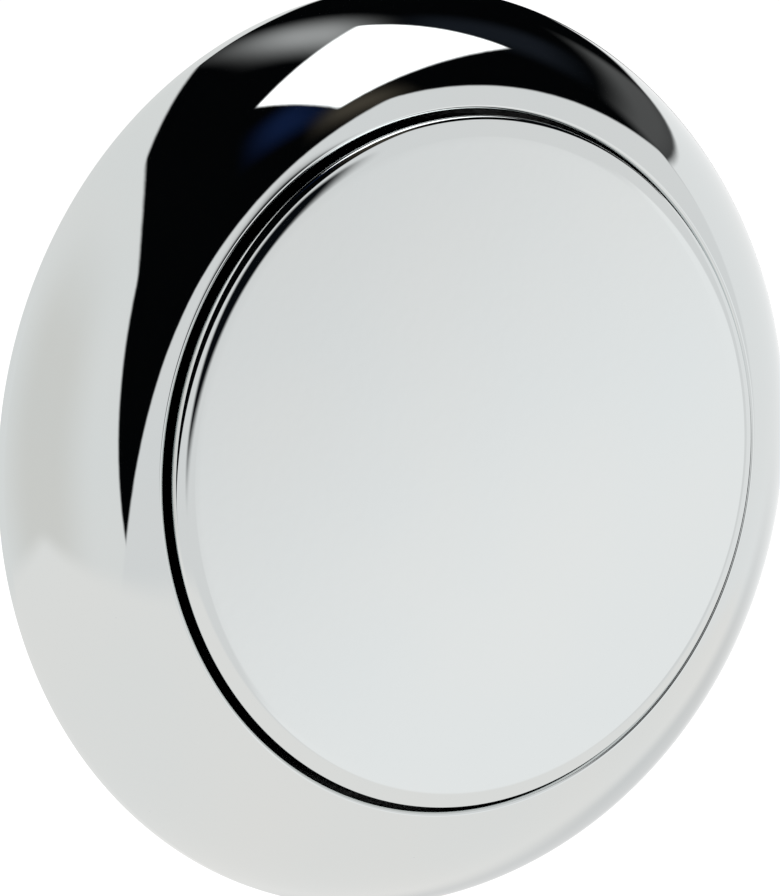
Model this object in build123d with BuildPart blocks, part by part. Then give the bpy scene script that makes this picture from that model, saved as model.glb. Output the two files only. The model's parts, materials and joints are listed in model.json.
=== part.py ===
from build123d import *
import os
from math import cos, degrees, radians, sin, sqrt

# Round air push button for a cistern panel.
# The axis lies along Y, the button faces the front (-Y), and the panel's face is the plane y = 0.
# Heights are measured forward from the panel's face, so what lies behind the panel has a negative height.

# Travel and running gaps
press_travel = 5.3
stop_gap = 0.3
seat_gap = 0.1

# Bezel
bezel_diameter = 73.0
rim_land = 1.0
dome_radius = 13.0
lip_round = 0.35
bezel_wall = 2.2
sleeve_wall = 1.5
bezel_rib_count = 8
bezel_rib_width = 1.2
snap_count = 4
snap_arc = 26.0
snap_overlap = 0.45
snap_height = 0.9

# Button cap
button_diameter = 54.5
button_gap = 0.4
button_proud = 1.1
crown_radius = 3.1
crown_width = 1.65
edge_round = 0.3
face_wall = 1.8
skirt_depth = 1.2
skirt_wall = 1.5
cap_rib_count = 8
cap_rib_width = 1.0
cap_rib_depth = 0.9
cap_rib_gap = 0.4
clip_count = 4
clip_arc = 34.0
clip_gap = 0.2
clip_wall = 1.4
clip_length = 4.8
hook_reach = 0.9
hook_height = 1.4

# Barrel
thread_diameter = 38.0
barrel_length = 23.0
barrel_wall = 3.0
barrel_chamfer = 0.6
flange_thickness = 1.6
flange_gap = 0.35
stop_lip = 1.6
end_ledge = 1.2
end_bore_depth = 4.6

# Plunger
neck_gap = 0.3
neck_wall = 1.6
collar_gap = 0.25
collar_length = 2.6
plunger_floor = 1.6
window_gap = 0.3

# Bellows
bellows_gap = 0.8
bellows_wall = 0.8
bellows_top = 1.4
bellows_flange = 1.4
fold_count = 3
fold_depth = 3.9
nipple_diameter = 4.6
nipple_length = 1.2
nipple_gap = 0.2

# End cap and hose spigot
end_cap_thickness = 1.6
end_cap_margin = 0.4
plug_gap = 0.1
plug_wall = 2.1
notch_count = 2
notch_width = 4.0
notch_depth = 2.0
spigot_diameter = 5.0
spigot_bore = 2.4
spigot_length = 12.0
spigot_chamfer = 0.5
spigot_fillet = 1.0

# Washers and backnut
seal_thickness = 1.2
seal_margin = 2.1
washer_gap = 0.4
panel_thickness = 6.5
slip_thickness = 1.5
nut_thickness = 6.5
nut_flange_thickness = 1.6
nut_wall = 3.35
nut_thread_gap = 0.25
nut_rib_count = 8
nut_rib_width = 3.0
nut_rib_reach = 2.6
nut_round = 0.6

# Heights that follow
flange_back = seal_thickness
flange_front = flange_back + flange_thickness
skirt_bottom = flange_front + stop_gap + press_travel
cap_underside = skirt_bottom + skirt_depth
face_height = cap_underside + face_wall
lip_height = face_height - button_proud
clip_end = cap_underside - clip_length
collar_front = flange_back - seat_gap
collar_back = collar_front - collar_length
bellows_front = collar_back - seat_gap
barrel_end = -barrel_length
bellows_seat = barrel_end + end_bore_depth
bellows_back = bellows_seat - bellows_flange
slip_front = -panel_thickness
nut_front = slip_front - slip_thickness

# Radii that follow
bezel_radius = bezel_diameter / 2
button_radius = button_diameter / 2
bore_radius = button_radius + button_gap
sleeve_radius = bore_radius + sleeve_wall
thread_radius = thread_diameter / 2
barrel_bore = thread_radius - barrel_wall
end_bore = barrel_bore + end_ledge
stop_radius = barrel_bore - stop_lip
neck_radius = stop_radius - neck_gap
neck_inner = neck_radius - neck_wall
clip_radius = neck_inner - clip_gap
plug_radius = end_bore - plug_gap
nipple_radius = nipple_diameter / 2
washer_bore = thread_radius + washer_gap
nut_bore = thread_radius + nut_thread_gap
nut_body_radius = nut_bore + nut_wall
nut_flange_radius = nut_body_radius + nut_rib_reach


def half_plane(angle=0.0):
    """Plane through the axis at an angle round it: local x is the radius, local y the height forward."""
    turn = radians(angle)
    return Plane((0, 0, 0), x_dir=(cos(turn), 0, sin(turn)), z_dir=(sin(turn), 0, -cos(turn)))


def start_angles(count, arc):
    """Angles at which equally spaced arcs begin, so that the first is centred on the x axis."""
    return [index * 360.0 / count + arc / 2 for index in range(count)]


def arc_centre(first, second, radius):
    """Centre of the arc from first to second that bulges outward and forward."""
    half = ((second[0] - first[0]) / 2, (second[1] - first[1]) / 2)
    reach = sqrt(half[0] ** 2 + half[1] ** 2)
    depth = sqrt(radius**2 - reach**2)
    return (
        first[0] + half[0] - half[1] / reach * depth,
        first[1] + half[1] + half[0] / reach * depth,
    )


os.makedirs("parts", exist_ok=True)

# Bezel: a domed shell with an inner sleeve round the button, ribs between them and snaps for the flange
rim_top = (bezel_radius, rim_land)
lip_corner = (bore_radius, lip_height)
dome_centre = arc_centre(rim_top, lip_corner, dome_radius)
inner_dome = dome_radius - bezel_wall
rim_inner = dome_centre[0] + sqrt(inner_dome**2 - (rim_land - dome_centre[1]) ** 2)
rib_outer = dome_centre[0] + sqrt(inner_dome**2 - (flange_front - dome_centre[1]) ** 2)
sleeve_top = dome_centre[1] + sqrt(inner_dome**2 - (sleeve_radius - dome_centre[0]) ** 2)
sleeve_bottom = flange_front + stop_gap
flange_radius = rib_outer - flange_gap
snap_radius = flange_radius - snap_overlap
snap_front = flange_back - seat_gap

with BuildPart() as bezel_ribs:
    with BuildSketch(half_plane()):
        with BuildLine():
            RadiusArc((rib_outer, flange_front), (sleeve_radius, sleeve_top), -inner_dome)
            Polyline((sleeve_radius, sleeve_top), (sleeve_radius, flange_front), (rib_outer, flange_front))
        make_face()
    revolve(axis=Axis.Y)
    with BuildSketch(Plane.XZ):
        with PolarLocations(bezel_radius, bezel_rib_count):
            Rectangle(bezel_diameter, bezel_rib_width)
    extrude(amount=lip_height, mode=Mode.INTERSECT)

with BuildPart() as bezel:
    with BuildSketch(half_plane()) as section:
        with BuildLine():
            Polyline((rim_inner, rim_land), (rim_inner, 0), (bezel_radius, 0), rim_top)
            RadiusArc(rim_top, lip_corner, -dome_radius)
            Polyline(
                lip_corner,
                (bore_radius, sleeve_bottom),
                (sleeve_radius, sleeve_bottom),
                (sleeve_radius, sleeve_top),
            )
            RadiusArc((sleeve_radius, sleeve_top), (rim_inner, rim_land), inner_dome)
        make_face()
        fillet(section.vertices().group_by(Axis.Y)[-1], lip_round)
    revolve(axis=Axis.Y)
    for angle in start_angles(snap_count, snap_arc):
        with BuildSketch(half_plane(angle)):
            with BuildLine():
                Polyline(
                    (rim_inner, snap_front),
                    (snap_radius, snap_front),
                    (rim_inner, snap_front - snap_height),
                    close=True,
                )
            make_face()
        revolve(axis=Axis.Y, revolution_arc=snap_arc)
    add(bezel_ribs.part)
bezel.part.label = "bezel"
export_step(bezel.part, "parts/bezel.step")

# Button cap: a flat face crowned round its edge, a short skirt, ribs under the face and clips for the plunger
crown_start = (button_radius - crown_width, face_height)
crown_end = (button_radius, face_height - crown_radius + sqrt(crown_radius**2 - crown_width**2))
skirt_inner = button_radius - skirt_wall
cap_rib_inner = neck_radius + cap_rib_gap

with BuildPart() as button_cap:
    with BuildSketch(half_plane()) as section:
        with BuildLine():
            Line((0, face_height), crown_start)
            RadiusArc(crown_start, crown_end, crown_radius)
            Polyline(
                crown_end,
                (button_radius, skirt_bottom),
                (skirt_inner, skirt_bottom),
                (skirt_inner, cap_underside),
                (0, cap_underside),
                (0, face_height),
            )
        make_face()
        fillet(section.vertices().sort_by_distance(crown_end)[0], edge_round)
    revolve(axis=Axis.Y)
    with BuildSketch(Plane.XZ.offset(cap_underside)):
        with PolarLocations((cap_rib_inner + skirt_inner) / 2, cap_rib_count):
            Rectangle(skirt_inner - cap_rib_inner, cap_rib_width)
    extrude(amount=-cap_rib_depth)
    for angle in start_angles(clip_count, clip_arc):
        with BuildSketch(half_plane(angle)):
            with BuildLine():
                Polyline(
                    (clip_radius, cap_underside),
                    (clip_radius, clip_end + hook_height),
                    (clip_radius + hook_reach, clip_end + hook_height),
                    (clip_radius, clip_end),
                    (clip_radius - clip_wall, clip_end),
                    (clip_radius - clip_wall, cap_underside),
                    close=True,
                )
            make_face()
        revolve(axis=Axis.Y, revolution_arc=clip_arc)
button_cap.part.label = "button_cap"
export_step(button_cap.part, "parts/button_cap.step")

# Plunger: a cup whose neck takes the cap's clips and whose collar runs in the barrel behind the flange
collar_radius = barrel_bore - collar_gap
nipple_hole = nipple_radius + nipple_gap
floor_front = collar_back + plunger_floor
window_top = clip_end + hook_height + window_gap
window_bottom = clip_end - window_gap
window_arc = clip_arc + 2 * degrees(window_gap / neck_inner)

with BuildPart() as plunger:
    with BuildSketch(half_plane()):
        with BuildLine():
            Polyline(
                (nipple_hole, collar_back),
                (collar_radius, collar_back),
                (collar_radius, collar_front),
                (neck_radius, collar_front),
                (neck_radius, cap_underside),
                (neck_inner, cap_underside),
                (neck_inner, floor_front),
                (nipple_hole, floor_front),
                close=True,
            )
        make_face()
    revolve(axis=Axis.Y)
    for angle in start_angles(clip_count, window_arc):
        with BuildSketch(half_plane(angle)):
            with BuildLine():
                Polyline(
                    (neck_inner - window_gap, window_bottom),
                    (neck_radius + window_gap, window_bottom),
                    (neck_radius + window_gap, window_top),
                    (neck_inner - window_gap, window_top),
                    close=True,
                )
            make_face()
        revolve(axis=Axis.Y, revolution_arc=window_arc, mode=Mode.SUBTRACT)
plunger.part.label = "plunger"
export_step(plunger.part, "parts/plunger.step")

# Bellows: a closed top with a nipple for the plunger, a pleated wall and a foot that the end cap clamps
fold_outer = barrel_bore - bellows_gap
fold_inner = fold_outer - fold_depth
folds_front = bellows_front - bellows_top
fold_pitch = (folds_front - bellows_seat) / fold_count
outer_wall = []
inner_wall = []
for fold in range(fold_count):
    valley = folds_front - fold * fold_pitch
    ridge = valley - fold_pitch / 2
    outer_wall += [(fold_inner, valley), (fold_outer, ridge)]
    inner_wall += [(fold_inner - bellows_wall, valley), (fold_outer - bellows_wall, ridge)]

with BuildPart() as bellows:
    with BuildSketch(half_plane()):
        with BuildLine():
            Polyline(
                (0, bellows_front + nipple_length),
                (nipple_radius, bellows_front + nipple_length),
                (nipple_radius, bellows_front),
                (fold_inner, bellows_front),
                *outer_wall,
                (fold_inner, bellows_seat),
                (plug_radius, bellows_seat),
                (plug_radius, bellows_back),
                (fold_inner - bellows_wall, bellows_back),
                (fold_inner - bellows_wall, bellows_seat),
                *reversed(inner_wall),
                (0, folds_front),
                close=True,
            )
        make_face()
    revolve(axis=Axis.Y)
bellows.part.label = "bellows"
export_step(bellows.part, "parts/bellows.step")

# Barrel: the flange that carries the bezel, with a lip that stops the plunger, and the threaded tube
with BuildPart() as barrel:
    with BuildSketch(half_plane()):
        with BuildLine():
            Polyline(
                (stop_radius, flange_front),
                (flange_radius, flange_front),
                (flange_radius, flange_back),
                (thread_radius, flange_back),
                (thread_radius, barrel_end + barrel_chamfer),
                (thread_radius - barrel_chamfer, barrel_end),
                (end_bore, barrel_end),
                (end_bore, bellows_seat),
                (barrel_bore, bellows_seat),
                (barrel_bore, flange_back),
                (stop_radius, flange_back),
                close=True,
            )
        make_face()
    revolve(axis=Axis.Y)
barrel.part.label = "barrel"
export_step(barrel.part, "parts/barrel.step")

# End cap: a plug that clamps the bellows, spanner notches in its rim and the spigot for the air hose
end_cap_radius = thread_radius - end_cap_margin
end_cap_back = barrel_end - end_cap_thickness
spigot_radius = spigot_diameter / 2
spigot_root = (spigot_radius, end_cap_back)
spigot_end = end_cap_back - spigot_length

with BuildPart() as end_cap:
    with BuildSketch(half_plane()) as section:
        with BuildLine():
            Polyline(
                (spigot_bore / 2, barrel_end),
                (plug_radius - plug_wall, barrel_end),
                (plug_radius - plug_wall, bellows_back),
                (plug_radius, bellows_back),
                (plug_radius, barrel_end),
                (end_cap_radius, barrel_end),
                (end_cap_radius, end_cap_back),
                spigot_root,
                (spigot_radius, spigot_end + spigot_chamfer),
                (spigot_radius - spigot_chamfer, spigot_end),
                (spigot_bore / 2, spigot_end),
                close=True,
            )
        make_face()
        fillet(section.vertices().sort_by_distance(spigot_root)[0], spigot_fillet)
    revolve(axis=Axis.Y)
    with BuildSketch(Plane.XZ.offset(end_cap_back)):
        with PolarLocations(end_cap_radius, notch_count):
            Rectangle(2 * notch_depth, notch_width)
    extrude(amount=end_cap_thickness, mode=Mode.SUBTRACT)
end_cap.part.label = "end_cap"
export_step(end_cap.part, "parts/end_cap.step")

# Sealing washer: rubber ring between the flange and the panel
with BuildPart() as sealing_washer:
    with BuildSketch(Plane.XZ):
        Circle(flange_radius - seal_margin)
        Circle(washer_bore, mode=Mode.SUBTRACT)
    extrude(amount=seal_thickness)
sealing_washer.part.label = "sealing_washer"
export_step(sealing_washer.part, "parts/sealing_washer.step")

# Back washer: slip ring between the panel's back and the nut
with BuildPart() as back_washer:
    with BuildSketch(Plane.XZ.offset(slip_front)):
        Circle(nut_flange_radius)
        Circle(washer_bore, mode=Mode.SUBTRACT)
    extrude(amount=-slip_thickness)
back_washer.part.label = "back_washer"
export_step(back_washer.part, "parts/back_washer.step")

# Backnut: a flanged ring with finger ribs round it
with BuildPart() as backnut:
    with BuildSketch(Plane.XZ.offset(nut_front)) as grip:
        Circle(nut_body_radius)
        with PolarLocations(nut_body_radius, nut_rib_count):
            Rectangle(2 * nut_rib_reach, nut_rib_width)
        fillet(grip.vertices(), nut_round)
    extrude(amount=-nut_thickness)
    with BuildSketch(Plane.XZ.offset(nut_front)):
        Circle(nut_flange_radius)
    extrude(amount=-nut_flange_thickness)
    with BuildSketch(half_plane()):
        with BuildLine():
            Polyline(
                (0, nut_front),
                (nut_bore + nut_round, nut_front),
                (nut_bore, nut_front - nut_round),
                (nut_bore, nut_front - nut_thickness + nut_round),
                (nut_bore + nut_round, nut_front - nut_thickness),
                (0, nut_front - nut_thickness),
                close=True,
            )
        make_face()
    revolve(axis=Axis.Y, mode=Mode.SUBTRACT)
backnut.part.label = "backnut"
export_step(backnut.part, "parts/backnut.step")
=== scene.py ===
"""Look of a round air push button: plated front, and a threaded barrel and nut behind the panel."""

import json
import logging
import math
from dataclasses import dataclass
from enum import Enum
from typing import Callable

import bpy
import numpy as np
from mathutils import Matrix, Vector


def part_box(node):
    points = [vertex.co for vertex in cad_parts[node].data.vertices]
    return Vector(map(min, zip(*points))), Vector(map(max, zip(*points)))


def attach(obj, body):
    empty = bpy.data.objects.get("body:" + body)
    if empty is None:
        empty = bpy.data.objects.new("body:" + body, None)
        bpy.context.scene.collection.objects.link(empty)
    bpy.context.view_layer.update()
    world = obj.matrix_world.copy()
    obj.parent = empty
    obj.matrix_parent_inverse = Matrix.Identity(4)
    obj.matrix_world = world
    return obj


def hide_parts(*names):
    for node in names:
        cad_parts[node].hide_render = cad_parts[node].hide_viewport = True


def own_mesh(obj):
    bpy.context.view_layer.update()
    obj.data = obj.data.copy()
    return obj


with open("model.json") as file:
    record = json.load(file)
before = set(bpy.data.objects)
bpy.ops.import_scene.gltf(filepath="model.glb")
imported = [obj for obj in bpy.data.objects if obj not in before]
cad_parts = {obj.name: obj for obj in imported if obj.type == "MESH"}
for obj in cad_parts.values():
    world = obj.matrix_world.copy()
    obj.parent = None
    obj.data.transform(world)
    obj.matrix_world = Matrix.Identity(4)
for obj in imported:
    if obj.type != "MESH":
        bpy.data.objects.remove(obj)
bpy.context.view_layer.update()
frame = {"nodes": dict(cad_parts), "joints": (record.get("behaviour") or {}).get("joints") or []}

LOG = logging.getLogger("round_push_button")
MM = 0.001
IMAGE_WIDTH = 780
IMAGE_HEIGHT = 896
# Edges sharper than this, in degrees, stay crisp in the shading
SHARP_ANGLE = 40.0
# Shares of half a pitch: the thread's crest, and each flank
CREST_SHARE = 0.38
FLANK_SHARE = 0.26
# Sockets of the colour mix node: its two colours and its result
MIX_FIRST, MIX_SECOND, MIX_RESULT = 6, 7, 2
# Fits in millimetres that the pieces share
BUTTON_GAP = 0.4
BUTTON_PROUD = 1.1
STOP_GAP = 0.3
WASHER_BORE = 19.4
END_CAP_THICKNESS = 1.6
NIPPLE_LENGTH = 1.2
FOOT_THICKNESS = 1.4
# The panel's front face, which all heights are measured from
PANEL_FACE = 0.0
# Limits: the cosine of a straight corner, the least radius without a pole, and decimals of an angle
STRAIGHT_COSINE = 0.9999
LEAST_RADIUS = 1e-6
ANGLE_DECIMALS = 6

Colour = tuple[float, float, float, float]


class Body(Enum):
    """The bodies that the pieces ride on."""

    HOUSING = "housing"
    BUTTON = "button"
    SLIP_WASHER = "slip_washer"
    NUT = "nut"


class Slot(Enum):
    """The record's material slots."""

    CHROME = "chrome_plate"
    ACETAL = "white_acetal"
    RUBBER = "black_rubber"
    MOULDING = "black_moulding"
    NUT = "nut_moulding"
    SLIP_RING = "slip_ring"


def linear(hex_colour: str, level: float = 1.0) -> Colour:
    """Turns an sRGB hex value into linear colour.

    Args:
        hex_colour: the colour as #RRGGBB.
        level: a factor on the linear values, above 1 for a lamp's face.

    Returns:
        Red, green and blue times the level, and full opacity.
    """
    channels = np.array([int(hex_colour[start : start + 2], 16) for start in (1, 3, 5)]) / 255.0
    values = np.where(channels <= 0.04045, channels / 12.92, ((channels + 0.055) / 1.055) ** 2.4)
    return (*(values * level).tolist(), 1.0)


def direction(azimuth: float, elevation: float) -> np.ndarray:
    """Unit vector at an azimuth from the front (-Y) towards +X and an elevation, both in degrees."""
    turn, rise = math.radians(azimuth), math.radians(elevation)
    return np.array([math.sin(turn) * math.cos(rise), -math.cos(turn) * math.cos(rise), math.sin(rise)])


def add_node(tree: bpy.types.NodeTree, kind: str, sockets: dict | None = None, **settings) -> bpy.types.Node:
    """Adds a node with its settings, values and links.

    Args:
        tree: the node tree that takes the node.
        kind: the node's type.
        sockets: for each input, by name or number, a value or the output socket that feeds it.
        settings: the node's own properties.

    Returns:
        The new node.
    """
    node = tree.nodes.new(kind)
    for name, value in settings.items():
        setattr(node, name, value)
    for key, value in (sockets or {}).items():
        if isinstance(value, bpy.types.NodeSocket):
            tree.links.new(value, node.inputs[key])
        else:
            node.inputs[key].default_value = value
    return node


def mixed(
    tree: bpy.types.NodeTree, share: bpy.types.NodeSocket, first: Colour | bpy.types.NodeSocket,
    second: Colour | bpy.types.NodeSocket,
) -> bpy.types.NodeSocket:
    """Blends two colours by the second one's share, and gives the socket of the blend."""
    sockets = {"Factor": share, MIX_FIRST: first, MIX_SECOND: second}
    return add_node(tree, "ShaderNodeMix", sockets, data_type="RGBA").outputs[MIX_RESULT]


def noise(
    tree: bpy.types.NodeTree, where: bpy.types.NodeSocket, width: float, detail: float,
) -> bpy.types.NodeSocket:
    """Soft noise on the object: its spots have a width in millimetres, and detail adds finer layers."""
    sockets = {"Vector": where, "Scale": 1 / (width * MM), "Detail": detail}
    return add_node(tree, "ShaderNodeTexNoise", sockets).outputs["Fac"]


# Surfaces


@dataclass
class Shell:
    """A closed surface: points in millimetres, and arrays of faces with one row of point numbers a face."""

    points: np.ndarray
    faces: list[np.ndarray]

    def volume(self) -> float:
        """Signed volume: a sixth of the triple products of each face's fan of triangles, added up.

        Returns:
            The volume, negative where the faces point inwards.
        """
        total = 0.0
        for face in self.faces:
            first = self.points[face[:, :1]]
            second = self.points[face[:, 1:-1]]
            third = self.points[face[:, 2:]]
            total += float((first * np.cross(second, third)).sum()) / 6.0
        return total

    def outward(self) -> "Shell":
        """Turns the faces outwards.

        Returns:
            The same surface.
        """
        if self.volume() < 0:
            self.faces = [face[:, ::-1] for face in self.faces]
        return self


def joined(shells: list[Shell]) -> Shell:
    """Puts several closed surfaces into one.

    Args:
        shells: the surfaces.

    Returns:
        One shell with all their points and faces.
    """
    offsets = np.cumsum([0] + [len(shell.points) for shell in shells])
    faces = [face + offset for shell, offset in zip(shells, offsets) for face in shell.faces]
    return Shell(np.concatenate([shell.points for shell in shells]), faces)


def grid_faces(rows: int, columns: int, wrap_rows: bool) -> np.ndarray:
    """Quads between neighbouring rows of a grid whose columns close on themselves.

    Args:
        rows: the number of rows.
        columns: the number of columns.
        wrap_rows: whether the last row joins the first.

    Returns:
        Four point numbers for each quad.
    """
    row = np.arange(rows if wrap_rows else rows - 1)[:, None]
    column = np.arange(columns)[None, :]
    near, far = row * columns, (row + 1) % rows * columns
    beside = (column + 1) % columns
    corners = np.broadcast_arrays(near + column, near + beside, far + beside, far + column)
    return np.stack(corners, axis=-1).reshape(-1, 4)


def arc(centre: tuple[float, float], radius: float, start: float, end: float, count: int) -> np.ndarray:
    """Points on a circle: the centre plus the radius times cosine and sine of even steps in degrees."""
    angles = np.radians(np.linspace(start, end, count))
    return np.asarray(centre) + radius * np.stack([np.cos(angles), np.sin(angles)], axis=1)


def rounded(
    corners: list[tuple[float, float]], radii: float | list[float], ends_on_axis: bool = False,
    steps: int = 5, hold: float = 0.03,
) -> np.ndarray:
    """Outline whose corners are arcs: a circle touches both sides, and a point is held just past it.

    The arc is the spherical blend of the two spokes from the circle's centre to where it touches the sides.

    Args:
        corners: the sharp outline's corners in order.
        radii: one radius for all corners, or one each.
        ends_on_axis: whether the outline is open, with its first and last corner on the axis.
        steps: the points on each arc.
        hold: how far past each arc the side gets a point that keeps it straight.

    Returns:
        One row of two coordinates for each point.
    """
    points = np.asarray(corners, float)
    radius = np.broadcast_to(np.asarray(radii, float), len(points))[:, None]
    before = np.roll(points, 1, axis=0) - points
    after = np.roll(points, -1, axis=0) - points
    before = before / np.linalg.norm(before, axis=1, keepdims=True)
    after = after / np.linalg.norm(after, axis=1, keepdims=True)
    cosine = (before * after).sum(axis=1, keepdims=True)
    half = np.arccos(np.clip(cosine, -STRAIGHT_COSINE, STRAIGHT_COSINE)) / 2
    reach = radius / np.tan(half)
    bisector = before + after
    bisector = bisector / np.linalg.norm(bisector, axis=1, keepdims=True)
    centre = points + bisector * radius / np.sin(half)
    turn = (np.pi - 2 * half)[:, :, None]
    share = np.linspace(0, 1, steps)[None, :, None]
    first = (points + before * reach - centre)[:, None]
    last = (points + after * reach - centre)[:, None]
    arcs = centre[:, None] + (np.sin((1 - share) * turn) * first + np.sin(share * turn) * last) / np.sin(turn)
    lead = (points + before * (reach + hold))[:, None]
    tail = (points + after * (reach + hold))[:, None]
    groups = np.concatenate([lead, arcs, tail], axis=1)
    if ends_on_axis:
        return np.concatenate([points[:1], groups[1:-1].reshape(-1, 2), points[-1:]])
    return groups.reshape(-1, 2)


RadiusRule = Callable[[np.ndarray, np.ndarray, np.ndarray], np.ndarray]


def around_axis(radius: np.ndarray, height: np.ndarray, turn: np.ndarray) -> np.ndarray:
    """Points round the axis: (radius cos turn, -height, radius sin turn), heights being forward."""
    radius, height, turn = np.broadcast_arrays(radius, height, turn)
    return np.stack([radius * np.cos(turn), -height, radius * np.sin(turn)], axis=-1)


def spun(profile: np.ndarray, turns: np.ndarray, rule: RadiusRule | None = None) -> Shell:
    """Surface of revolution: each profile point (radius, height) goes round the axis through all the turns.

    A rule may change the radius by height and turn, which gives threads, ribs and notches. A profile that
    starts and ends on the axis gets a pole at each end, and any other profile closes on itself.

    Args:
        profile: rows of radius and height.
        turns: the angles round the axis in radians.
        rule: gives the radius from the profile's radius, height and the turn.

    Returns:
        The closed surface.
    """
    radius, height, turn = profile[:, :1], profile[:, 1:], turns[None, :]
    count = len(turns)
    shaped = radius + 0 * turn if rule is None else rule(radius, height, turn)
    grid = around_axis(shaped, height, turn)
    if profile[0, 0] > LEAST_RADIUS:
        return Shell(grid.reshape(-1, 3), [grid_faces(len(profile), count, True)]).outward()
    rings = grid[1:-1].reshape(-1, 3)
    poles = np.stack([grid[0, 0], grid[-1, 0]])
    column = np.arange(count)
    beside = (column + 1) % count
    last_row = (len(profile) - 3) * count
    first_pole, last_pole = len(rings), len(rings) + 1
    front = np.stack([np.full(count, first_pole), beside, column], axis=1)
    back = np.stack([np.full(count, last_pole), last_row + column, last_row + beside], axis=1)
    quads = grid_faces(len(profile) - 2, count, False)
    return Shell(np.concatenate([rings, poles]), [quads, front, back]).outward()


def capped(rows: np.ndarray) -> Shell:
    """Solid swept by one closed outline: the rows are its places, and a flat face closes each end.

    Args:
        rows: the outline's points at each place, as places by points by three.

    Returns:
        The closed surface.
    """
    places, count = rows.shape[:2]
    first = np.arange(count)[None, ::-1]
    last = (places - 1) * count + np.arange(count)[None, :]
    return Shell(rows.reshape(-1, 3), [grid_faces(places, count, False), first, last]).outward()


def arc_block(outline: np.ndarray, centre: float, sweep: float, places: int = 9) -> Shell:
    """Block that follows the ring: a closed outline carried through an arc in degrees round the axis."""
    turns = np.radians(np.linspace(centre - sweep / 2, centre + sweep / 2, places))[:, None]
    return capped(around_axis(outline[None, :, 0], outline[None, :, 1], turns))


def radial_plate(outline: np.ndarray, centre: float, thickness: float) -> Shell:
    """Flat rib: a closed outline at an angle round the axis, moved sideways both ways by half its thickness.

    Args:
        outline: rows of radius and height.
        centre: the rib's angle in degrees.
        thickness: the rib's thickness.

    Returns:
        The closed surface.
    """
    turn = math.radians(centre)
    sideways = np.array([-math.sin(turn), 0.0, math.cos(turn)])
    middle = around_axis(outline[:, 0], outline[:, 1], np.full(len(outline), turn))
    offsets = np.array([-thickness / 2, thickness / 2])[:, None, None]
    return capped(middle[None] + offsets * sideways)


def even_degrees(count: int) -> list[float]:
    """Evenly spaced angles round the whole axis, in degrees."""
    return [index * 360 / count for index in range(count)]


def even_turns(count: int) -> np.ndarray:
    """Evenly spaced angles round the whole axis, in radians."""
    return np.linspace(0, 2 * np.pi, count, endpoint=False)


def smooth_step(values: np.ndarray, low: float, high: float) -> np.ndarray:
    """Eased ramp from 0 at low to 1 at high: three squares less two cubes of the share of the way."""
    share = np.clip((values - low) / (high - low), 0, 1)
    return share * share * (3 - 2 * share)


def thread_depth(height: np.ndarray, turn: np.ndarray, pitch: float) -> np.ndarray:
    """Right-hand trapezoidal thread, 0 on the crest and 1 in the root.

    The phase is the height in pitches less the turn in whole turns. The flanks ramp between crest and root.

    Args:
        height: heights along the axis.
        turn: angles round the axis in radians.
        pitch: the height of one turn.

    Returns:
        The share of the thread's depth at each point.
    """
    phase = (height / pitch - turn / (2 * np.pi)) % 1.0
    from_crest = np.abs(phase - 0.5) * 2
    return np.clip((from_crest - CREST_SHARE) / FLANK_SHARE, 0, 1)


# Finishes


@dataclass(frozen=True)
class ChromePlate:
    """Bright nickel and chrome, electroplated on polished ABS.

    The eye gets a nearly perfect mirror, a shade cooler than neutral, with the slow waviness of the moulding
    under it and a few grains of dust that show only where it reflects something dark.
    """

    name: str = "chrome_plated_abs_polished"
    metal: str = "#DADCDB"
    cool_metal: str = "#D6DBDC"
    roughness: float = 0.02
    wave_width: float = 14.0
    wave_height: float = 0.004
    peel_width: float = 0.9
    peel_height: float = 0.0007
    dust_spacing: float = 2.6
    dust_size: float = 0.075
    dust_share: float = 0.55
    wave_detail: float = 1.0
    dust_roughness: float = 0.55

    def material(self) -> bpy.types.Material:
        """Builds the mirror metal, its waviness and its dust.

        Returns:
            The finish.
        """
        material = bpy.data.materials.new(self.name)
        material.use_nodes = True
        tree = material.node_tree
        shader = tree.nodes["Principled BSDF"]
        where = add_node(tree, "ShaderNodeTexCoord").outputs["Object"]
        waves = noise(tree, where, self.wave_width, self.wave_detail)
        peel = noise(tree, where, self.peel_width, self.wave_detail)
        tint = mixed(tree, waves, linear(self.metal), linear(self.cool_metal))
        cells = {"Vector": where, "Scale": 1 / (self.dust_spacing * MM)}
        dust = add_node(tree, "ShaderNodeTexVoronoi", cells)
        size = add_node(
            tree, "ShaderNodeMapRange", {
                "Value": dust.outputs["Color"], "From Min": self.dust_share, "From Max": 1.0, "To Min": 0.0,
                "To Max": self.dust_size / self.dust_spacing,
            },
        )
        grains = {0: dust.outputs["Distance"], 1: size.outputs["Result"]}
        speck = add_node(tree, "ShaderNodeMath", grains, operation="LESS_THAN")
        gloss = add_node(
            tree, "ShaderNodeMapRange", {
                "Value": speck.outputs["Value"], "To Min": self.roughness, "To Max": self.dust_roughness,
            },
        )
        wavy = add_node(tree, "ShaderNodeBump", {"Height": waves, "Distance": self.wave_height * MM})
        bump = add_node(
            tree, "ShaderNodeBump", {
                "Height": peel, "Distance": self.peel_height * MM, "Normal": wavy.outputs["Normal"],
            },
        )
        tree.links.new(tint, shader.inputs["Base Color"])
        tree.links.new(gloss.outputs["Result"], shader.inputs["Roughness"])
        tree.links.new(bump.outputs["Normal"], shader.inputs["Normal"])
        shader.inputs["Metallic"].default_value = 1.0
        return material


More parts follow.
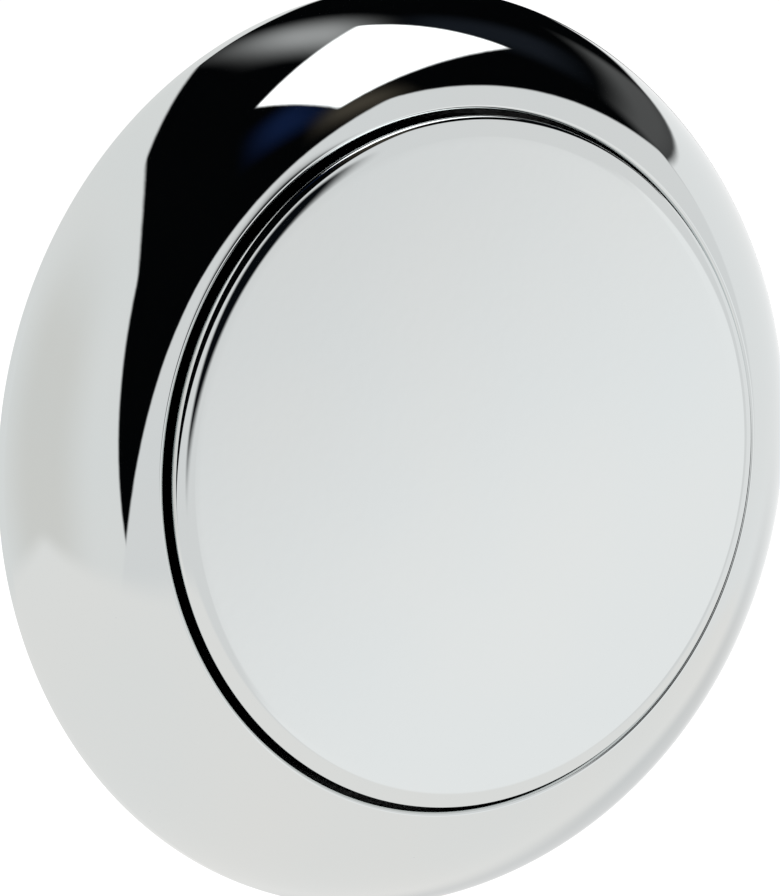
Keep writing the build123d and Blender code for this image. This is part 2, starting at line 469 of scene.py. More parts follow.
@dataclass(frozen=True)
class MouldedPlastic:
    """Injection moulded plastic with a fine spark-eroded grain.

    The eye gets a soft sheen broken by the grain, and slow changes of shade from the flow in the mould.
    """

    name: str
    colour: str
    flow_colour: str
    roughness: float = 0.45
    roughness_spread: float = 0.12
    grain_width: float = 0.35
    grain_height: float = 0.012
    flow_width: float = 9.0
    flow_detail: float = 3.0
    grain_detail: float = 2.0
    grain_low: float = 0.3
    grain_high: float = 0.7
    ior: float = 1.5
    subsurface: float = 0.0

    def material(self) -> bpy.types.Material:
        """Builds the plastic from its flow shades and its grain.

        Returns:
            The finish.
        """
        material = bpy.data.materials.new(self.name)
        material.use_nodes = True
        tree = material.node_tree
        shader = tree.nodes["Principled BSDF"]
        where = add_node(tree, "ShaderNodeTexCoord").outputs["Object"]
        flow = noise(tree, where, self.flow_width, self.flow_detail)
        grain = noise(tree, where, self.grain_width, self.grain_detail)
        shade = mixed(tree, flow, linear(self.colour), linear(self.flow_colour))
        gloss = add_node(
            tree, "ShaderNodeMapRange", {
                "Value": grain, "From Min": self.grain_low, "From Max": self.grain_high,
                "To Min": self.roughness - self.roughness_spread / 2,
                "To Max": self.roughness + self.roughness_spread / 2,
            },
        )
        bump = add_node(tree, "ShaderNodeBump", {"Height": grain, "Distance": self.grain_height * MM})
        tree.links.new(shade, shader.inputs["Base Color"])
        tree.links.new(gloss.outputs["Result"], shader.inputs["Roughness"])
        tree.links.new(bump.outputs["Normal"], shader.inputs["Normal"])
        shader.inputs["IOR"].default_value = self.ior
        shader.inputs["Subsurface Weight"].default_value = self.subsurface
        shader.inputs["Subsurface Radius"].default_value = (MM, MM, MM)
        return material


# White acetal: milky and slightly waxy where light enters its edges
WHITE_ACETAL = MouldedPlastic(
    "white_acetal_moulded", "#ECEBE6", "#E3E2DC", 0.38, 0.1, ior=1.48, subsurface=0.15,
)
# EPDM rubber: dull dark grey with a pale bloom in patches
BLACK_RUBBER = MouldedPlastic(
    "black_epdm_rubber_moulded", "#1B1C1D", "#2A2B2B", 0.78, 0.14, grain_width=0.6, grain_height=0.02,
    ior=1.52,
)
# Black ABS: dark with a satin sheen on its grain
BLACK_ABS = MouldedPlastic("black_abs_moulded", "#28292B", "#303133", 0.42, 0.16)
# Grey polypropylene: slightly waxy, a little paler than the barrel
NUT_POLYPROPYLENE = MouldedPlastic(
    "grey_polypropylene_moulded", "#45474A", "#4E5053", 0.48, 0.14, ior=1.49,
)
# Natural polyethylene: cloudy off-white, soft sheen
SLIP_POLYETHYLENE = MouldedPlastic(
    "natural_polyethylene_stamped", "#DCDCD3", "#D0D1C9", 0.5, 0.1, ior=1.51, subsurface=0.2,
)


# Pieces


class Piece:
    """A piece that stands for the solid of its name, hides that solid and rides on a body; it names a slot
    but is not given one.
    """

    name: str
    body: Body
    slot: Slot

    def shells(self) -> list[Shell]:
        """Closed surfaces that make up the piece."""
        raise NotImplementedError

    def build(self, material: bpy.types.Material) -> bpy.types.Object:
        """Makes the piece.

        Args:
            material: its finish.

        Returns:
            The new object.
        """
        shell = joined(self.shells())
        mesh = bpy.data.meshes.new(self.name + "_surface")
        faces = [row for face in shell.faces for row in face.tolist()]
        mesh.from_pydata((shell.points * MM).tolist(), [], faces)
        mesh.polygons.foreach_set("use_smooth", np.ones(len(mesh.polygons), dtype=bool))
        mesh.set_sharp_from_angle(angle=math.radians(SHARP_ANGLE))
        mesh.materials.append(material)
        mesh.update()
        piece = bpy.data.objects.new(self.name + "_surface", mesh)
        bpy.context.scene.collection.objects.link(piece)
        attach(piece, self.body.value)
        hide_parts(self.name)
        LOG.info("%s: %d points, %d faces", piece.name, len(mesh.vertices), len(mesh.polygons))
        return piece


@dataclass
class Bezel(Piece):
    """Domed plated ring with an inner sleeve, ribs behind the dome and snaps for the barrel's flange."""

    name = "bezel"
    body = Body.HOUSING
    slot = Slot.CHROME
    radius: float
    bore: float
    lip_height: float
    flange_front: float
    flange_back: float
    land: float = 1.0
    dome_radius: float = 13.0
    lip_round: float = 0.35
    wall: float = 2.2
    sleeve_wall: float = 1.5
    stop_gap: float = STOP_GAP
    edge: float = 0.15
    rib_count: int = 8
    rib_width: float = 1.2
    rib_sink: float = 0.2
    snap_count: int = 4
    snap_arc: float = 26.0
    snap_overlap: float = 0.8
    snap_height: float = 0.9
    snap_gap: float = 0.1
    rim_clearance: float = 0.7
    dome_steps: int = 96
    lip_steps: int = 22
    inner_steps: int = 20
    rib_steps: int = 12
    turns: int = 400

    def dome_centre(self) -> tuple[float, float]:
        """Centre of the dome's arc, which runs from the top of the rim's land to the lip's corner.

        Returns:
            Its radius and height.
        """
        half_run = (self.bore - self.radius) / 2
        half_rise = (self.lip_height - self.land) / 2
        reach = math.hypot(half_run, half_rise)
        depth = math.sqrt(self.dome_radius**2 - reach**2)
        return (
            self.radius + half_run - half_rise / reach * depth,
            self.land + half_rise + half_run / reach * depth,
        )

    def on_inner_dome(self, height: float) -> float:
        """Radius of the dome's inner face at a height."""
        centre = self.dome_centre()
        return centre[0] + math.sqrt((self.dome_radius - self.wall) ** 2 - (height - centre[1]) ** 2)

    def profile(self) -> np.ndarray:
        """Closed section: rim, dome arc, rolled lip, bore, sleeve and the dome's inner face.

        Returns:
            Rows of radius and height.
        """
        centre = self.dome_centre()
        inner = self.dome_radius - self.wall
        lip_across = self.bore + self.lip_round
        lip_reach = self.dome_radius - self.lip_round
        lip_up = centre[1] + math.sqrt(lip_reach**2 - (lip_across - centre[0]) ** 2)
        rim_angle = math.degrees(math.asin((self.land - centre[1]) / self.dome_radius))
        lip_angle = math.degrees(math.atan2(lip_up - centre[1], lip_across - centre[0]))
        sleeve_radius = self.bore + self.sleeve_wall
        sleeve_bottom = self.flange_front + self.stop_gap
        sleeve_angle = math.degrees(math.acos((sleeve_radius - centre[0]) / inner))
        inner_rim_angle = math.degrees(math.asin((self.land - centre[1]) / inner))
        rim_inner = self.on_inner_dome(self.land)
        far = self.flange_front
        rim_corners = [
            (rim_inner, far), (rim_inner, PANEL_FACE), (self.radius, PANEL_FACE), (self.radius, far),
        ]
        rim = rounded(rim_corners, self.edge)
        group = len(rim) // len(rim_corners)
        sleeve = rounded(
            [
                (self.bore, lip_up), (self.bore, sleeve_bottom),
                (sleeve_radius, sleeve_bottom), (sleeve_radius, lip_up),
            ],
            self.edge,
        )
        return np.concatenate([
            rim[group : 3 * group],
            arc(centre, self.dome_radius, rim_angle, lip_angle, self.dome_steps),
            arc((lip_across, lip_up), self.lip_round, lip_angle, 180.0, self.lip_steps)[1:],
            sleeve[group : 3 * group],
            arc(centre, inner, sleeve_angle, inner_rim_angle, self.inner_steps),
        ])

    def ribs(self) -> list[Shell]:
        """Plates between the sleeve and the dome, sunk a little into both.

        Returns:
            One closed surface for each rib.
        """
        centre = self.dome_centre()
        inner = self.dome_radius - self.wall + self.rib_sink
        sleeve = self.bore + self.sleeve_wall - self.rib_sink
        start = math.degrees(math.asin((self.flange_front - centre[1]) / inner))
        end = math.degrees(math.acos((sleeve - centre[0]) / inner))
        dome = arc(centre, inner, start, end, self.rib_steps)
        outline = np.concatenate([dome, [(sleeve, self.flange_front)]])
        return [radial_plate(outline, angle, self.rib_width) for angle in even_degrees(self.rib_count)]

    def snaps(self) -> list[Shell]:
        """Wedges on the rim's inner face that catch behind the flange.

        Returns:
            One closed surface for each snap.
        """
        rim = self.on_inner_dome(self.land) + self.edge
        front = self.flange_back - self.snap_gap
        outline = np.array([
            (rim, front),
            (rim - self.edge - self.snap_overlap - self.rim_clearance, front),
            (rim, front - self.snap_height),
        ])
        return [arc_block(outline, angle, self.snap_arc) for angle in even_degrees(self.snap_count)]

    def shells(self) -> list[Shell]:
        """The ring, its ribs and its snaps."""
        return [spun(self.profile(), even_turns(self.turns)), *self.ribs(), *self.snaps()]


@dataclass
class ButtonCap(Piece):
    """Flat plated button with a crowned edge, a skirt, ribs under its face and clips for the plunger."""

    name = "button_cap"
    body = Body.BUTTON
    slot = Slot.CHROME
    radius: float
    face_height: float
    skirt_bottom: float
    crown_radius: float = 3.1
    crown_width: float = 1.65
    edge_round: float = 0.3
    face_wall: float = 1.8
    skirt_wall: float = 1.5
    edge: float = 0.15
    rib_count: int = 8
    rib_width: float = 1.0
    rib_depth: float = 0.9
    rib_start: float = 14.5
    rib_sink: float = 0.2
    clip_count: int = 4
    clip_arc: float = 34.0
    clip_radius: float = 12.3
    clip_wall: float = 1.4
    clip_length: float = 4.8
    hook_reach: float = 0.9
    hook_height: float = 1.4
    edge_steps: int = 26
    face_rings: int = 26
    turns: int = 400

    def profile(self) -> np.ndarray:
        """Section from the middle of the face over its crowned edge and skirt to the middle of its underside.

        Returns:
            Rows of radius and height.
        """
        underside = self.face_height - self.face_wall
        inner = self.radius - self.skirt_wall
        crown_start = self.radius - self.crown_width
        crown_low = self.face_height - self.crown_radius
        edge_in = self.radius - self.edge_round
        edge_reach = self.crown_radius - self.edge_round
        edge_tilt = math.degrees(math.asin((edge_in - crown_start) / edge_reach))
        edge_low = crown_low + edge_reach * math.cos(math.radians(edge_tilt))
        share = np.linspace(0, 1, self.face_rings)
        face = np.stack([crown_start * np.sqrt(share), np.full(len(share), self.face_height)], axis=1)
        crown = arc((crown_start, crown_low), self.crown_radius, 90.0, 90.0 - edge_tilt, self.edge_steps)
        corner = arc((edge_in, edge_low), self.edge_round, 90.0 - edge_tilt, 0.0, self.edge_steps)
        skirt = rounded(
            [
                (self.radius, self.face_height), (self.radius, self.skirt_bottom), (inner, self.skirt_bottom),
                (inner, underside), (0.0, underside),
            ],
            self.edge, ends_on_axis=True,
        )
        return np.concatenate([face, crown[1:], corner[1:], skirt[1:]])

    def shells(self) -> list[Shell]:
        """The cap, its ribs and its clips."""
        underside = self.face_height - self.face_wall
        inner = self.radius - self.skirt_wall + self.rib_sink
        top = underside + self.rib_sink
        rib = np.array([
            (self.rib_start, top), (inner, top),
            (inner, underside - self.rib_depth), (self.rib_start, underside - self.rib_depth),
        ])
        end = underside - self.clip_length
        hook = end + self.hook_height
        clip = np.array([
            (self.clip_radius, top), (self.clip_radius, hook), (self.clip_radius + self.hook_reach, hook),
            (self.clip_radius, end), (self.clip_radius - self.clip_wall, end),
            (self.clip_radius - self.clip_wall, top),
        ])
        ribs = [radial_plate(rib, angle, self.rib_width) for angle in even_degrees(self.rib_count)]
        clips = [arc_block(clip, angle, self.clip_arc) for angle in even_degrees(self.clip_count)]
        return [spun(self.profile(), even_turns(self.turns)), *ribs, *clips]


@dataclass
class Barrel(Piece):
    """Flange that carries the bezel, and the tube with the thread for the nut."""

    name = "barrel"
    body = Body.HOUSING
    slot = Slot.MOULDING
    flange_front: float
    flange_back: float
    end: float
    flange_radius: float
    thread_radius: float = 19.0
    bore: float = 16.0
    stop_radius: float = 14.4
    end_bore: float = 17.2
    end_bore_depth: float = 4.6
    chamfer: float = 0.6
    edge: float = 0.2
    pitch: float = 3.0
    depth: float = 0.95
    run_out: float = 1.2
    rows_per_turn: int = 18
    turns: int = 240

    def thread(self, radius: np.ndarray, height: np.ndarray, turn: np.ndarray) -> np.ndarray:
        """Radius of the threaded tube: the profile's radius less the thread's depth, eased at its ends.

        Args:
            radius: the profile's radii.
            height: its heights.
            turn: the angles round the axis.

        Returns:
            The radius at each point.
        """
        top = self.flange_back - self.run_out
        ease_top = smooth_step(-height, -top, -top + self.run_out)
        ease_end = smooth_step(height, self.end, self.end + self.run_out)
        outside = (radius > self.thread_radius - self.edge / 2) & (height < self.flange_back - self.edge)
        share = np.where(outside, ease_top * ease_end, 0.0)
        return radius - share * self.depth * thread_depth(height, turn, self.pitch)

    def shells(self) -> list[Shell]:
        """The section, with rows for the thread let in after the flange, spun round."""
        seat = self.end + self.end_bore_depth
        corners = [
            (self.stop_radius, self.flange_front), (self.flange_radius, self.flange_front),
            (self.flange_radius, self.flange_back), (self.thread_radius, self.flange_back),
            (self.thread_radius, self.end + self.chamfer), (self.thread_radius - self.chamfer, self.end),
            (self.end_bore, self.end), (self.end_bore, seat), (self.bore, seat),
            (self.bore, self.flange_back), (self.stop_radius, self.flange_back),
        ]
        section = rounded(corners, self.edge)
        flange_corners = 4
        after_flange = flange_corners * len(section) // len(corners)
        high = self.flange_back - 2 * self.edge
        low = self.end + self.chamfer + 2 * self.edge
        count = int((high - low) / self.pitch * self.rows_per_turn)
        run = np.stack([np.full(count, self.thread_radius), np.linspace(high, low, count)], axis=1)
        section = np.insert(section, after_flange, run, axis=0)
        return [spun(section, even_turns(self.turns), self.thread)]


@dataclass
class EndCap(Piece):
    """Plug that closes the barrel, with two spanner notches in its rim and the spigot for the air hose."""

    name = "end_cap"
    body = Body.HOUSING
    slot = Slot.MOULDING
    front: float
    plug_front: float
    back: float
    spigot_end: float
    radius: float = 18.6
    plug_radius: float = 17.1
    plug_wall: float = 2.1
    spigot_radius: float = 2.5
    spigot_bore: float = 1.2
    spigot_chamfer: float = 0.5
    spigot_fillet: float = 1.0
    notch_width: float = 4.0
    notch_depth: float = 2.0
    edge: float = 0.2
    turns: int = 200
    notch_turns: int = 12
    # Just inside and just outside a notch's side, as shares of its half angle
    side_shares: tuple[float, float] = (0.999, 1.02)
    least_cosine: float = 0.5

    def notched(self, radius: np.ndarray, height: np.ndarray, turn: np.ndarray) -> np.ndarray:
        """Radius of the rim: within a notch it ends at the flat floor, whose distance goes over the cosine.

        Args:
            radius: the profile's radii.
            height: its heights.
            turn: the angles round the axis.

        Returns:
            The radius at each point.
        """
        floor = (self.radius - self.notch_depth) / np.maximum(np.abs(np.cos(turn)), self.least_cosine)
        within = np.abs(np.sin(turn)) * self.radius < self.notch_width / 2
        return np.where(within & (height < self.front + self.edge / 2), np.minimum(radius, floor), radius)

    def shells(self) -> list[Shell]:
        """The section spun round, at angles that are closer together in the notches."""
        inner = self.plug_radius - self.plug_wall
        corners = [
            (self.spigot_bore, self.front), (inner, self.front), (inner, self.plug_front),
            (self.plug_radius, self.plug_front), (self.plug_radius, self.front), (self.radius, self.front),
            (self.radius, self.back), (self.spigot_radius, self.back),
            (self.spigot_radius, self.spigot_end + self.spigot_chamfer),
            (self.spigot_radius - self.spigot_chamfer, self.spigot_end), (self.spigot_bore, self.spigot_end),
        ]
        radii = [self.edge] * len(corners)
        radii[corners.index((self.spigot_radius, self.back))] = self.spigot_fillet
        half = math.asin(self.notch_width / 2 / self.radius)
        sides = np.concatenate([
            middle + np.linspace(-half, half, self.notch_turns) * scale
            for middle in (0.0, np.pi) for scale in self.side_shares
        ])
        angles = np.concatenate([even_turns(self.turns), sides]) % (2 * np.pi)
        turns = np.unique(np.round(angles, ANGLE_DECIMALS))
        return [spun(rounded(corners, radii), turns, self.notched)]


@dataclass
class Bellows(Piece):
    """Rubber bellows under the plunger: a closed top with a nipple, rounded pleats and a clamped foot."""

    name = "bellows"
    body = Body.HOUSING
    slot = Slot.RUBBER
    front: float
    seat: float
    back: float
    travel: float
    fold_outer: float = 15.2
    fold_inner: float = 11.3
    wall: float = 0.8
    top: float = 1.4
    folds: int = 3
    nipple_radius: float = 2.3
    nipple_length: float = NIPPLE_LENGTH
    foot_radius: float = 17.1
    pleat_round: float = 0.35
    turns: int = 128

    def shells(self) -> list[Shell]:
        """The pleated section spun round."""
        folds_front = self.front - self.top
        valleys = np.linspace(folds_front, self.seat, self.folds + 1)[:-1]
        half_pitch = (folds_front - self.seat) / self.folds / 2
        heights = np.stack([valleys, valleys - half_pitch], axis=1).ravel()
        radii = np.tile([self.fold_inner, self.fold_outer], self.folds)
        outer = list(zip(radii, heights))
        inner = list(zip(radii - self.wall, heights))[::-1]
        corners = [
            (0.0, self.front + self.nipple_length), (self.nipple_radius, self.front + self.nipple_length),
            (self.nipple_radius, self.front), (self.fold_inner, self.front), *outer,
            (self.fold_inner, self.seat), (self.foot_radius, self.seat),
            (self.foot_radius, self.back), (self.fold_inner - self.wall, self.back),
            (self.fold_inner - self.wall, self.seat), *inner, (0.0, folds_front),
        ]
        section = rounded(corners, self.pleat_round, ends_on_axis=True)
        return [spun(section, even_turns(self.turns))]

    def build(self, material: bpy.types.Material) -> bpy.types.Object:
        """Makes the bellows and gives it a mesh of its own.

        Args:
            material: the rubber.

        Returns:
            The new object.
        """
        piece = super().build(material)
        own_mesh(piece)
        return piece


@dataclass
class FlatRing(Piece):
    """Plain washer with softened edges."""

    name: str
    body: Body
    slot: Slot
    outer: float
    bore: float
    front: float
    back: float
    edge: float = 0.25
    turns: int = 200

    def shells(self) -> list[Shell]:
        """The section spun round."""
        corners = [
            (self.bore, self.front), (self.outer, self.front),
            (self.outer, self.back), (self.bore, self.back),
        ]
        return [spun(rounded(corners, self.edge), even_turns(self.turns))]


@dataclass
class Backnut(Piece):
    """Flanged nut with finger ribs round it and the thread in its bore."""

    name = "backnut"
    body = Body.NUT
    slot = Slot.NUT
    front: float
    back: float
    flange_radius: float
    bore: float = 19.25
    body_radius: float = 22.6
    flange_thickness: float = 1.6
    rib_count: int = 8
    rib_width: float = 3.0
    rib_draft: float = 0.25
    flank: float = 0.5
    edge: float = 0.3
    chamfer: float = 0.6
    pitch: float = 3.0
    thread_cut: float = 0.45
    bore_rows: int = 30
    top_steps: int = 4
    flank_steps: int = 12
    valley_steps: int = 10
    edge_steps: int = 5

    def rib_turns(self) -> np.ndarray:
        """Angles round the axis, closer together on the flanks of the ribs.

        Returns:
            The angles in radians.
        """
        near = (self.rib_width / 2 - self.flank) / self.body_radius
        far = (self.rib_width / 2 + self.flank) / self.body_radius
        sector = np.pi / self.rib_count
        side = np.concatenate([
            np.linspace(0, near, self.top_steps)[1:],
            np.linspace(near, far, self.flank_steps)[1:],
            np.linspace(far, sector, self.valley_steps)[1:],
        ])
        one = np.concatenate([-side[:-1][::-1], [0.0], side])
        starts = np.arange(self.rib_count)[:, None] * 2 * sector
        return (starts + one).ravel()

    def rib_reach(self, turn: np.ndarray) -> np.ndarray:
        """How far the grip stands out from the nut's body: an eased plateau on each rib.

        Args:
            turn: angles round the axis.

        Returns:
            The reach at each angle.
        """
        sector = 2 * np.pi / self.rib_count
        across = np.abs((turn + sector / 2) % sector - sector / 2) * self.body_radius
        low, high = self.rib_width / 2 - self.flank, self.rib_width / 2 + self.flank
        return (self.flange_radius - self.body_radius - self.rib_draft) * (1 - smooth_step(across, low, high))

    def shells(self) -> list[Shell]:
        """Rows of radius and height over the flange, the ribbed grip and the bore, spun round."""
        shoulder = self.front - self.flange_thickness
        corners = [
            (self.bore + self.chamfer, self.front), (self.flange_radius, self.front),
            (self.flange_radius, shoulder), (self.body_radius + self.edge, shoulder),
        ]
        flange = rounded(corners, self.edge / 2)
        group = len(flange) // len(corners)
        foot_centre = (self.body_radius + self.edge, shoulder - self.edge)
        foot = arc(foot_centre, self.edge, 90.0, 180.0, self.edge_steps)
        crown_centre = (self.body_radius - self.edge, self.back + self.edge)
        crown = arc(crown_centre, self.edge, 0.0, -90.0, self.edge_steps)
        bore_heights = np.linspace(self.back + self.chamfer, self.front - self.chamfer, self.bore_rows)
        bore = np.stack([np.full(self.bore_rows, self.bore), bore_heights], axis=1)
        ends = np.array([(self.bore + self.chamfer, self.back)])
        start = np.array([(self.bore + self.chamfer, self.front)])
        profile = np.concatenate([start, flange[group : 3 * group], foot, crown, ends, bore])
        grip_start = 1 + 2 * group
        ribbed = np.zeros((len(profile), 1))
        ribbed[grip_start : grip_start + len(foot) + len(crown)] = 1.0
        threaded = np.zeros((len(profile), 1))
        threaded[-self.bore_rows + 1 : -1] = 1.0

        def shaped(radius: np.ndarray, height: np.ndarray, turn: np.ndarray) -> np.ndarray:
            """Adds the ribs to the grip's rows and cuts the thread outwards into the bore's rows."""
            cut = self.thread_cut * thread_depth(height, turn, self.pitch)
            return radius + ribbed * self.rib_reach(turn) + threaded * cut

        return [spun(profile, self.rib_turns(), shaped)]


# Studio


@dataclass(frozen=True)
class Card:
    """A reflector or lamp face far off, given by its corners as azimuth and elevation in degrees."""

    name: str
    corners: tuple[tuple[float, float], ...]
    colour: str
    level: float
    softness: float
    inside: tuple[float, float] | None = None

    def edge_normals(self) -> list[np.ndarray]:
        """Normals of the planes through the eye and each edge, pointing to the card's inside.

        Returns:
            One unit vector for each edge.
        """
        rays = np.array([direction(*corner) for corner in self.corners])
        edges = len(rays) if self.inside is None else len(rays) - 1
        normals = np.cross(rays, np.roll(rays, -1, axis=0))[:edges]
        normals = normals / np.linalg.norm(normals, axis=1, keepdims=True)
        middle = rays.mean(axis=0) if self.inside is None else direction(*self.inside)
        signs = np.sign(normals @ middle)
        return list(normals * signs[:, None])


@dataclass
class Studio:
    """A dark room with white cards round the object, one softbox above, a pale floor and an even fill."""

    floor_height: float = -120.0
    floor_size: float = 8000.0
    floor_paint: str = "#F2F2F2"
    floor_glow: float = 0.2
    fill: str = "#F2F2F2"
    wall: str = "#F8F8F7"
    background: str = "#FFFFFF"
    key_azimuth: float = 50.0
    key_elevation: float = 55.0
    key_distance: float = 1200.0
    key_size: float = 800.0
    key_power: float = 8.0
    cards: tuple[Card, ...] = ()

    def card_mask(
        self, tree: bpy.types.NodeTree, ray: bpy.types.NodeSocket, card: Card,
    ) -> bpy.types.NodeSocket:
        """Where a card is seen: the product of eased steps across the planes of its edges.

        Args:
            tree: the world's node tree.
            ray: the socket of the direction that is looked in.
            card: the card.

        Returns:
            The socket of the mask, 1 on the card and 0 off it.
        """
        mask = None
        edge = math.sin(math.radians(card.softness))
        for normal in card.edge_normals():
            pair = {0: ray, 1: normal.tolist()}
            depth = add_node(tree, "ShaderNodeVectorMath", pair, operation="DOT_PRODUCT")
            step = {"Value": depth.outputs["Value"], "From Min": -edge, "From Max": edge}
            ramp = add_node(
                tree, "ShaderNodeMapRange", step, interpolation_type="SMOOTHSTEP", label=card.name,
            )
            inside = ramp.outputs["Result"]
            if mask is not None:
                both = add_node(tree, "ShaderNodeMath", {0: mask, 1: inside}, operation="MULTIPLY")
                inside = both.outputs["Value"]
            mask = inside
        return mask

    def build_world(self) -> None:
        """Paints the room: white for the camera, the cards for glossy rays, and an even fill for the rest."""
        world = bpy.data.worlds.new("studio")
        world.use_nodes = True
        bpy.context.scene.world = world
        tree = world.node_tree
        tree.nodes.clear()
        ray = add_node(tree, "ShaderNodeTexCoord").outputs["Generated"]
        shade = add_node(tree, "ShaderNodeRGB").outputs["Color"]
        shade.default_value = linear(self.wall)
        for card in self.cards:
            shade = mixed(tree, self.card_mask(tree, ray, card), shade, linear(card.colour, card.level))
        path = add_node(tree, "ShaderNodeLightPath")
        lit = mixed(tree, path.outputs["Is Glossy Ray"], linear(self.fill), shade)
        straight = {0: path.outputs["Is Camera Ray"], 1: path.outputs["Is Transmission Ray"]}
        through = add_node(tree, "ShaderNodeMath", straight, operation="MAXIMUM")
        seen = mixed(tree, through.outputs["Value"], lit, linear(self.background))
        backdrop = add_node(tree, "ShaderNodeBackground", {"Color": seen, "Strength": 1.0})
        add_node(tree, "ShaderNodeOutputWorld", {"Surface": backdrop.outputs["Background"]})

    def build_floor(self) -> None:
        """Lays the pale floor, which keeps the shadow and stays out of the chrome's reflections."""
        half = self.floor_size / 2
        corners = np.array([(-half, -half), (half, -half), (half, half), (-half, half)])
        points = np.column_stack([corners, np.full(len(corners), self.floor_height)]) * MM
        mesh = bpy.data.meshes.new("floor")
        mesh.from_pydata(points.tolist(), [], [(0, 1, 2, 3)])
        material = bpy.data.materials.new("floor_matt_paint")
        material.use_nodes = True
        tree = material.node_tree
        tree.nodes.clear()
        paint = add_node(tree, "ShaderNodeBsdfDiffuse", {"Color": linear(self.floor_paint)})
        light = {"Color": linear(self.background), "Strength": self.floor_glow}
        glow = add_node(tree, "ShaderNodeEmission", light)
        both = add_node(tree, "ShaderNodeAddShader", {0: paint.outputs["BSDF"], 1: glow.outputs["Emission"]})
        add_node(tree, "ShaderNodeOutputMaterial", {"Surface": both.outputs["Shader"]})
        mesh.materials.append(material)
        floor = bpy.data.objects.new("floor", mesh)
        floor.visible_glossy = False
        bpy.context.scene.collection.objects.link(floor)

    def build_key(self) -> None:
        """Hangs one large soft lamp that shapes the plain parts and stays out of the reflections."""
        lamp = bpy.data.lights.new("key_softbox", "AREA")
        lamp.size = self.key_size * MM
        lamp.energy = self.key_power
        holder = bpy.data.objects.new("key_softbox", lamp)
        aim = Vector(direction(self.key_azimuth, self.key_elevation).tolist())
        holder.location = aim * self.key_distance * MM
        holder.rotation_euler = aim.to_track_quat("Z", "Y").to_euler()
        holder.visible_glossy = False
        holder.visible_camera = False
        bpy.context.scene.collection.objects.link(holder)


@dataclass(frozen=True)
class Viewpoint:
    """Camera of the photograph: bearing, distance, image scale and where the panel's centre falls."""

    azimuth: float = -33.62
    elevation: float = 7.43
    distance: float = 800.0
    pixels_per_mm: float = 12.638
    centre_x: float = 390.7
    centre_y: float = 447.6
    sensor: float = 36.0
    clip_start: float = 0.01
    clip_end: float = 100.0

    def build(self) -> None:
        """Sets up the camera: its focal length in pixels is the distance times the scale."""
        lens = bpy.data.cameras.new("photo_camera")
        lens.sensor_width = self.sensor
        lens.lens = self.sensor * self.distance * self.pixels_per_mm / IMAGE_HEIGHT
        lens.shift_x = (IMAGE_WIDTH / 2 - self.centre_x) / IMAGE_HEIGHT
        lens.shift_y = (self.centre_y - IMAGE_HEIGHT / 2) / IMAGE_HEIGHT
        lens.clip_start = self.clip_start
        lens.clip_end = self.clip_end
        back = Vector(direction(self.azimuth, self.elevation).tolist())
        camera = bpy.data.objects.new("photo_camera", lens)
        camera.location = back * self.distance * MM
        camera.rotation_euler = back.to_track_quat("Z", "Y").to_euler()
        bpy.context.scene.collection.objects.link(camera)
        bpy.context.scene.camera = camera


# Cards in the order they are painted, placed to give the chrome the reflections of the photograph
STUDIO_CARDS = (
    Card("dim_wall", ((-112, -32), (-64, -28), (-64, 28), (-112, 36)), "#FFFDF9", 0.84, 16.0),
    Card("room_side", ((-30.3, -15.9), (-41, 22)), "#040506", 1.0, 0.9, inside=(52, 20)),
    Card("room_top", ((-50, 38), (-100, 61), (180, 55)), "#040506", 1.0, 0.8, inside=(40, 70)),
    Card("ceiling_glow", ((70, 72), (115, 64), (170, 58), (160, 80)), "#FFFFFF", 0.42, 8.0),
    Card("window_haze", ((84, 34), (106, 34), (110, 58), (86, 60)), "#9FB0CC", 0.03, 6.0),
    Card("blue_cloth", ((-4, 45), (16, 44), (14, 60), (-8, 58)), "#5F8FFF", 0.05, 6.0),
    Card("warm_board", ((16, 37), (32, 37), (32, 46), (16, 46)), "#FFEED3", 0.07, 5.0),
    Card("softbox", ((20, 44.5), (84, 44.5), (113, 67), (-13, 70)), "#FFFFFF", 2.2, 0.8),
    Card("far_shelf", ((78, 17), (120, 14), (120, 25), (80, 26)), "#FFFFFF", 0.1, 4.0),
    Card("front_card", ((-40, -27.2), (-5.5, 16.5), (30, 38), (80, 19), (60, -50)), "#FFFFFF", 0.9, 0.7),
    Card("card_glow", ((21, -19.1), (45, 4.9), (62, 0), (62, -14), (40, -30)), "#FFFFFF", 1.09, 1.8),
    Card("dark_board", ((26, 0), (21, 23), (13, 25), (4, 18), (0, 8), (3, -7)), "#0A0D11", 1.0, 4.0),
    Card(
        "right_card", ((80, 18.5), (105, 17), (122, 15), (140, 5), (145, -40), (60, -40)),
        "#FFFFFF", 1.0, 0.8,
    ),
    Card("table", ((-90, -17.5), (0, -17.5), (90, -17.5), (180, -17.5)), "#FFFDFB", 1.0, 3.0),
    Card("table_shade", ((100, -14), (150, -14), (150, -38), (100, -38)), "#FFFFFF", 0.8, 8.0),
)


def dress_hidden_nodes() -> None:
    """Gives the plunger, which stays out of sight inside the barrel, its acetal."""
    plunger = frame["nodes"]["plunger"]
    plunger.data.materials.clear()
    plunger.data.materials.append(WHITE_ACETAL.material())


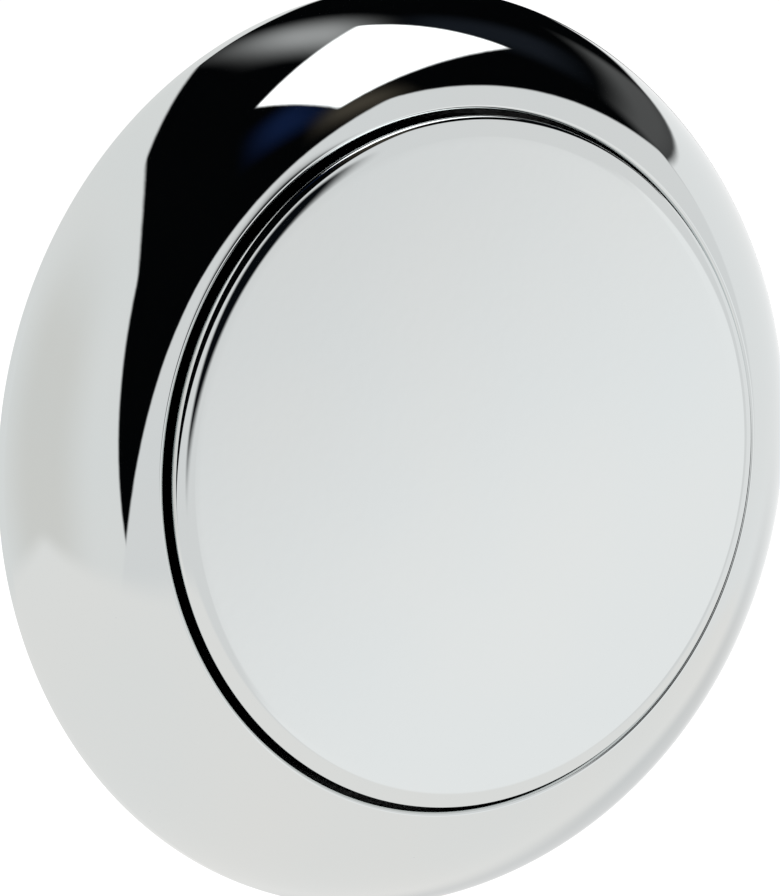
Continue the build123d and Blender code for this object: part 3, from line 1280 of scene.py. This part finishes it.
def heights(node: str) -> tuple[float, float]:
    """Front and back of a solid in millimetres forward of the panel's face."""
    low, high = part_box(node)
    return -low.y / MM, -high.y / MM


def radius_of(node: str) -> float:
    """Outer radius of a solid in millimetres."""
    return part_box(node)[1].z / MM


def main() -> None:
    """Builds the pieces, the studio and the camera in order."""
    logging.basicConfig(level=logging.INFO, format="%(name)s %(message)s")
    bpy.context.scene.view_settings.view_transform = "Standard"

    face_height, _ = heights("button_cap")
    flange_front, barrel_end = heights("barrel")
    seal_front, _ = heights("sealing_washer")
    end_cap_front, spigot_end = heights("end_cap")
    bellows_top, bellows_back = heights("bellows")
    slip_front, slip_back = heights("back_washer")
    nut_front, nut_back = heights("backnut")
    press = next(joint for joint in frame["joints"] if joint["name"] == "button_press")
    travel = press["range_m"][1] / MM
    button_radius = radius_of("button_cap")
    lip_height = face_height - BUTTON_PROUD

    chrome = ChromePlate().material()
    abs_plastic = BLACK_ABS.material()
    rubber = BLACK_RUBBER.material()
    bore = button_radius + BUTTON_GAP
    Bezel(radius_of("bezel"), bore, lip_height, flange_front, seal_front).build(chrome)
    ButtonCap(button_radius, face_height, flange_front + STOP_GAP + travel).build(chrome)
    Barrel(flange_front, seal_front, barrel_end, radius_of("barrel")).build(abs_plastic)
    EndCap(barrel_end, end_cap_front, barrel_end - END_CAP_THICKNESS, spigot_end).build(abs_plastic)
    Bellows(bellows_top - NIPPLE_LENGTH, bellows_back + FOOT_THICKNESS, bellows_back, travel).build(rubber)
    FlatRing(
        "sealing_washer", Body.HOUSING, Slot.RUBBER, radius_of("sealing_washer"), WASHER_BORE,
        seal_front, PANEL_FACE,
    ).build(rubber)
    FlatRing(
        "back_washer", Body.SLIP_WASHER, Slot.SLIP_RING, radius_of("back_washer"), WASHER_BORE,
        slip_front, slip_back,
    ).build(SLIP_POLYETHYLENE.material())
    Backnut(nut_front, nut_back, radius_of("backnut")).build(NUT_POLYPROPYLENE.material())
    dress_hidden_nodes()

    studio = Studio(cards=STUDIO_CARDS)
    studio.build_world()
    studio.build_floor()
    studio.build_key()
    Viewpoint().build()


if __name__ == "__main__":
    main()
